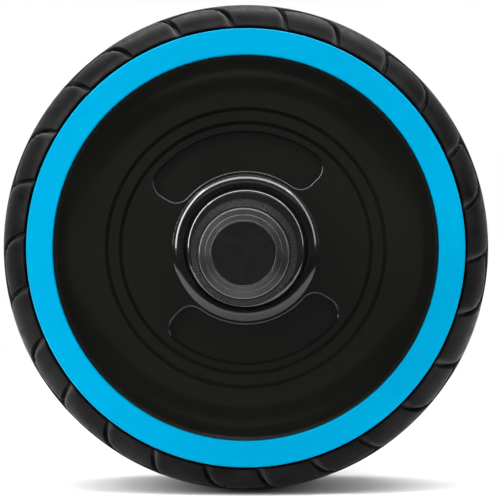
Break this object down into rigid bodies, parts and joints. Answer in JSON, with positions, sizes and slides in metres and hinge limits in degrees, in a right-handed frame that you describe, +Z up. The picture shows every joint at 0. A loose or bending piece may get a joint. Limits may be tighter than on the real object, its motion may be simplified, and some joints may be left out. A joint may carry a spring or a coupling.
{
  "type": "ab wheel roller",
  "caption": "Wide ab wheel roller: a treaded rubber tyre on a glossy dished wheel with a coloured trim ring, turning on ball bearings between two straight hand grips.",
  "frame": {"origin": "middle of the wheel, on the axle line", "axes": "+Y along the axle towards the left handle, +Z up, +X the way it is rolled"},
  "size_m": [0.185, 0.3404, 0.185],
  "materials": {
    "tyre_rubber": "matte moulded",
    "drum_plastic": "matte",
    "dish_plastic": "glossy",
    "ring_plastic": "satin",
    "grip_rubber": "fine stipple",
    "handle_plastic": "matte",
    "cap_plastic": "satin",
    "disc_plastic": "matte",
    "seal_rubber": "matte",
    "steel": "zinc plated",
    "bearing_steel": "ground",
    "cage_steel": "pressed"
  },
  "bodies": {
    "handles": {"axle": "steel", "axle_spacer": "steel", "bearing_inner_race_left": "bearing_steel", "bearing_inner_race_right": "bearing_steel", "thrust_washer_left": "steel", "thrust_washer_right": "steel", "handle_core_left": "handle_plastic", "handle_core_right": "handle_plastic", "grip_left": "grip_rubber", "grip_right": "grip_rubber", "handle_screw_left": "steel", "handle_screw_right": "steel", "screw_washer_left": "steel", "screw_washer_right": "steel", "end_cap_left": "cap_plastic", "end_cap_right": "cap_plastic", "end_disc_left": "disc_plastic", "end_disc_right": "disc_plastic"},
    "wheel": {"tyre": "tyre_rubber", "rim_drum": "drum_plastic", "side_dish_left": "dish_plastic", "side_dish_right": "dish_plastic", "accent_ring_left": "ring_plastic", "accent_ring_right": "ring_plastic", "rim_screws_left": "steel", "rim_screws_right": "steel", "bearing_outer_race_left": "bearing_steel", "bearing_outer_race_right": "bearing_steel", "bearing_seals_left": "seal_rubber", "bearing_seals_right": "seal_rubber"},
    "left_ball_set": {"bearing_balls_left": "bearing_steel", "bearing_cage_left": "cage_steel"},
    "right_ball_set": {"bearing_balls_right": "bearing_steel", "bearing_cage_right": "cage_steel"}
  },
  "joints": [
    {"name": "wheel_spin", "type": "hinge", "parent": "handles", "child": "wheel", "pos_m": [0, 0, 0], "axis": [0, 1, 0], "continuous": true},
    {"name": "left_ball_orbit", "type": "hinge", "parent": "handles", "child": "left_ball_set", "pos_m": [0, 0.03, 0], "axis": [0, 1, 0], "continuous": true},
    {"name": "right_ball_orbit", "type": "hinge", "parent": "handles", "child": "right_ball_set", "pos_m": [0, -0.03, 0], "axis": [0, 1, 0], "continuous": true}
  ],
  "couplings": [
    {"joint": "left_ball_orbit", "follows": "wheel_spin", "ratio": 0.61905},
    {"joint": "right_ball_orbit", "follows": "wheel_spin", "ratio": 0.61905}
  ]
}
